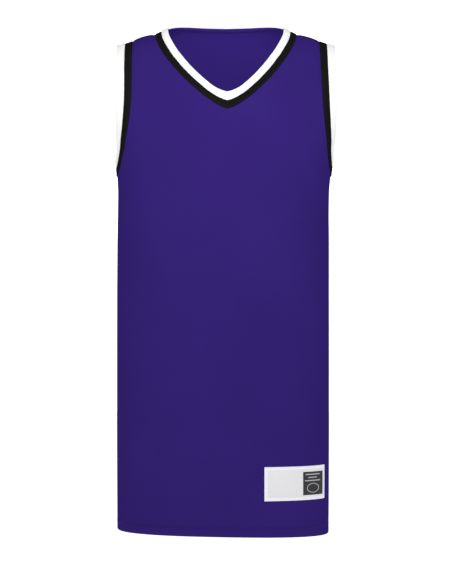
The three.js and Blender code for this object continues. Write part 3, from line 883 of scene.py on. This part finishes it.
# The label is sewn down all round, just inside its folded border.
STITCH_INSET = 1.7
inset_x = np.interp([STITCH_INSET, label_width - STITCH_INSET], cross * label_width, label_x[14])
inset_z = (LABEL_BOTTOM + STITCH_INSET, LABEL_TOP - STITCH_INSET)
corners = [(0, 0), (1, 0), (1, 1), (0, 1), (0, 0)]
label_rows = []
for (a, b), (c, d) in zip(corners, corners[1:]):
    places = place_of(np.linspace(inset_x[a], inset_x[c], 30), np.linspace(inset_z[b], inset_z[d], 30))
    label_rows.append(laid(FRONT, places, 1, 0.95))
label_thread = stitch_rows("label_thread", label_rows)
label_thread.data.materials.append(white_thread)
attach(label_thread, "root")

# The dark block is woven in, so it stands hardly above the satin. It carries plain bars and an empty ring.
BLOCK = (118.7, 148.4, -667.6, -702.2)
BARS = ((122.5, 143.5, -671.6), (126.5, 139.5, -676.2), (121.5, 144.5, -680.8))
RING = (133.6, -691.9, 8.2, 6.2)

weave_dark = knit_material(
    "label_dark_weave", (0.045, 0.045, 0.048), 0.2, roughness=0.6, specular=0.4, wale=0.5, depth=0.05
)
weave_light = knit_material(
    "label_light_weave", (0.5, 0.5, 0.51), 0.1, roughness=0.6, specular=0.4, wale=0.5, depth=0.05
)


def on_label(x, z, rise):
    """Height over the cloth that is a little above the satin there."""
    across = np.interp(x, label_x[14], cross)
    high = np.interp(z, label_z[:, 0], up)
    return 0.55 + 0.12 * np.sin(across * 31) * np.sin(high * 9) + rise


def woven_block(name, left, right, top, bottom, rise, material):
    x_grid, z_grid = np.meshgrid(np.linspace(left, right, 16), np.linspace(bottom, top, 8))
    piece = plate(name, x_grid, z_grid, on_label(x_grid, z_grid, rise), 0.3)
    piece.data.materials.append(material)
    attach(piece, "root")


left, right, top, bottom = BLOCK
woven_block("label_block", left, right, top, bottom, 0.07, weave_dark)
for i, (left, right, middle) in enumerate(BARS):
    woven_block("label_bar_" + str(i + 1), left, right, middle + 0.75, middle - 0.75, 0.14, weave_light)
turn = np.linspace(0, 2 * math.pi, 49)[:-1]
ring_sides = []
for grow, rise in ((0.0, 0.0), (0.0, 0.14), (0.9, 0.14), (0.9, 0.0)):
    ring_x = RING[0] + (RING[2] + grow) * np.cos(turn)
    ring_z = RING[1] + (RING[3] + grow) * np.sin(turn)
    ring_sides.append(laid(FRONT, place_of(ring_x, ring_z), 1, on_label(ring_x, ring_z, rise))[0])
ring_uv = np.stack([np.stack([turn * RING[2], np.full_like(turn, i)], axis=-1) for i in range(4)])
ring = loop_mesh("label_ring", np.stack(ring_sides), ring_uv)
ring.data.materials.append(weave_light)
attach(ring, "root")


# Studio
# A pale floor under the jersey, soft light from the front, and a camera level with the middle of the body.

CAMERA = (0.003, -3.76, -0.385)
VIEW_HEIGHT = 0.8563  # metres seen from top to bottom at the jersey

camera_data = bpy.data.cameras.new("camera")
camera = bpy.data.objects.new("camera", camera_data)
bpy.context.scene.collection.objects.link(camera)
camera.location = CAMERA
camera.rotation_euler = (math.radians(90), 0, 0)
camera_data.sensor_fit = "AUTO"
camera_data.angle = 2 * math.atan(VIEW_HEIGHT / 2 / -CAMERA[1])
bpy.context.scene.camera = camera


def glow(name, colour, strength):
    """A surface that is bright by itself, so that it is the same pale tone everywhere."""
    material = bpy.data.materials.new(name)
    material.use_nodes = True
    shader = material.node_tree.nodes["Principled BSDF"]
    shader.inputs["Base Color"].default_value = (*colour, 1)
    shader.inputs["Roughness"].default_value = 1.0
    shader.inputs["Specular IOR Level"].default_value = 0.0
    shader.inputs["Emission Color"].default_value = (1, 1, 1, 1)
    shader.inputs["Emission Strength"].default_value = strength
    return material


floor_mesh = bpy.data.meshes.new("floor")
floor_mesh.from_pydata([(-9, -9, -1.0), (9, -9, -1.0), (9, 9, -1.0), (-9, 9, -1.0)], [], [(0, 1, 2, 3)])
floor_mesh.materials.append(glow("floor_white", (0.6, 0.6, 0.6), 0.85))
floor = bpy.data.objects.new("floor", floor_mesh)
bpy.context.scene.collection.objects.link(floor)
floor.visible_diffuse = False

# A white backdrop behind the jersey, seen by the camera only, so that it throws no light on the cloth.
BACKDROP_RADIUS = 8.0
backdrop_mesh = bpy.data.meshes.new("backdrop")
turns = [2 * math.pi * i / 48 for i in range(48)]
backdrop_points = [
    (BACKDROP_RADIUS * math.cos(turn), BACKDROP_RADIUS * math.sin(turn), z) for z in (-1.0, 9.0) for turn in turns
]
backdrop_mesh.from_pydata(backdrop_points, [], [(i, (i + 1) % 48, (i + 1) % 48 + 48, i + 48) for i in range(48)])
backdrop_mesh.materials.append(glow("backdrop_white", (0.9, 0.9, 0.9), 1.1))
backdrop = bpy.data.objects.new("backdrop", backdrop_mesh)
bpy.context.scene.collection.objects.link(backdrop)
backdrop.visible_diffuse = False
backdrop.visible_glossy = False
backdrop.visible_transmission = False
backdrop.visible_shadow = False

# The room is brightest level with the jersey, and darker overhead, so the shoulders are in soft shade.
world = bpy.data.worlds.new("studio")
bpy.context.scene.world = world
world.use_nodes = True
sky, sky_links = world.node_tree.nodes, world.node_tree.links
direction = sky.new("ShaderNodeTexCoord")
up_part = sky.new("ShaderNodeSeparateXYZ")
sky_links.new(direction.outputs["Generated"], up_part.inputs[0])
tone = sky.new("ShaderNodeMapRange")
tone.inputs["From Min"].default_value = -1.0
tone.inputs["From Max"].default_value = 1.0
sky_links.new(up_part.outputs["Z"], tone.inputs["Value"])
room = sky.new("ShaderNodeValToRGB")
room.color_ramp.elements[0].color = (1.0, 1.0, 1.0, 1)
room.color_ramp.elements[1].color = (0.18, 0.18, 0.18, 1)
level_tone = room.color_ramp.elements.new(0.5)
level_tone.color = (0.86, 0.86, 0.86, 1)
sky_links.new(tone.outputs["Result"], room.inputs["Fac"])
sky_links.new(room.outputs["Color"], sky["Background"].inputs["Color"])
sky["Background"].inputs["Strength"].default_value = 1.16

key_data = bpy.data.lights.new("front_light", "AREA")
key_data.shape = "DISK"
key_data.size = 0.6
key_data.energy = 2.9
key = bpy.data.objects.new("front_light", key_data)
bpy.context.scene.collection.objects.link(key)
key.location = (0.0, -0.62, 0.22)
key.rotation_euler = (math.radians(56), 0, 0)
key.visible_camera = False

bpy.context.scene.view_settings.view_transform = "Standard"
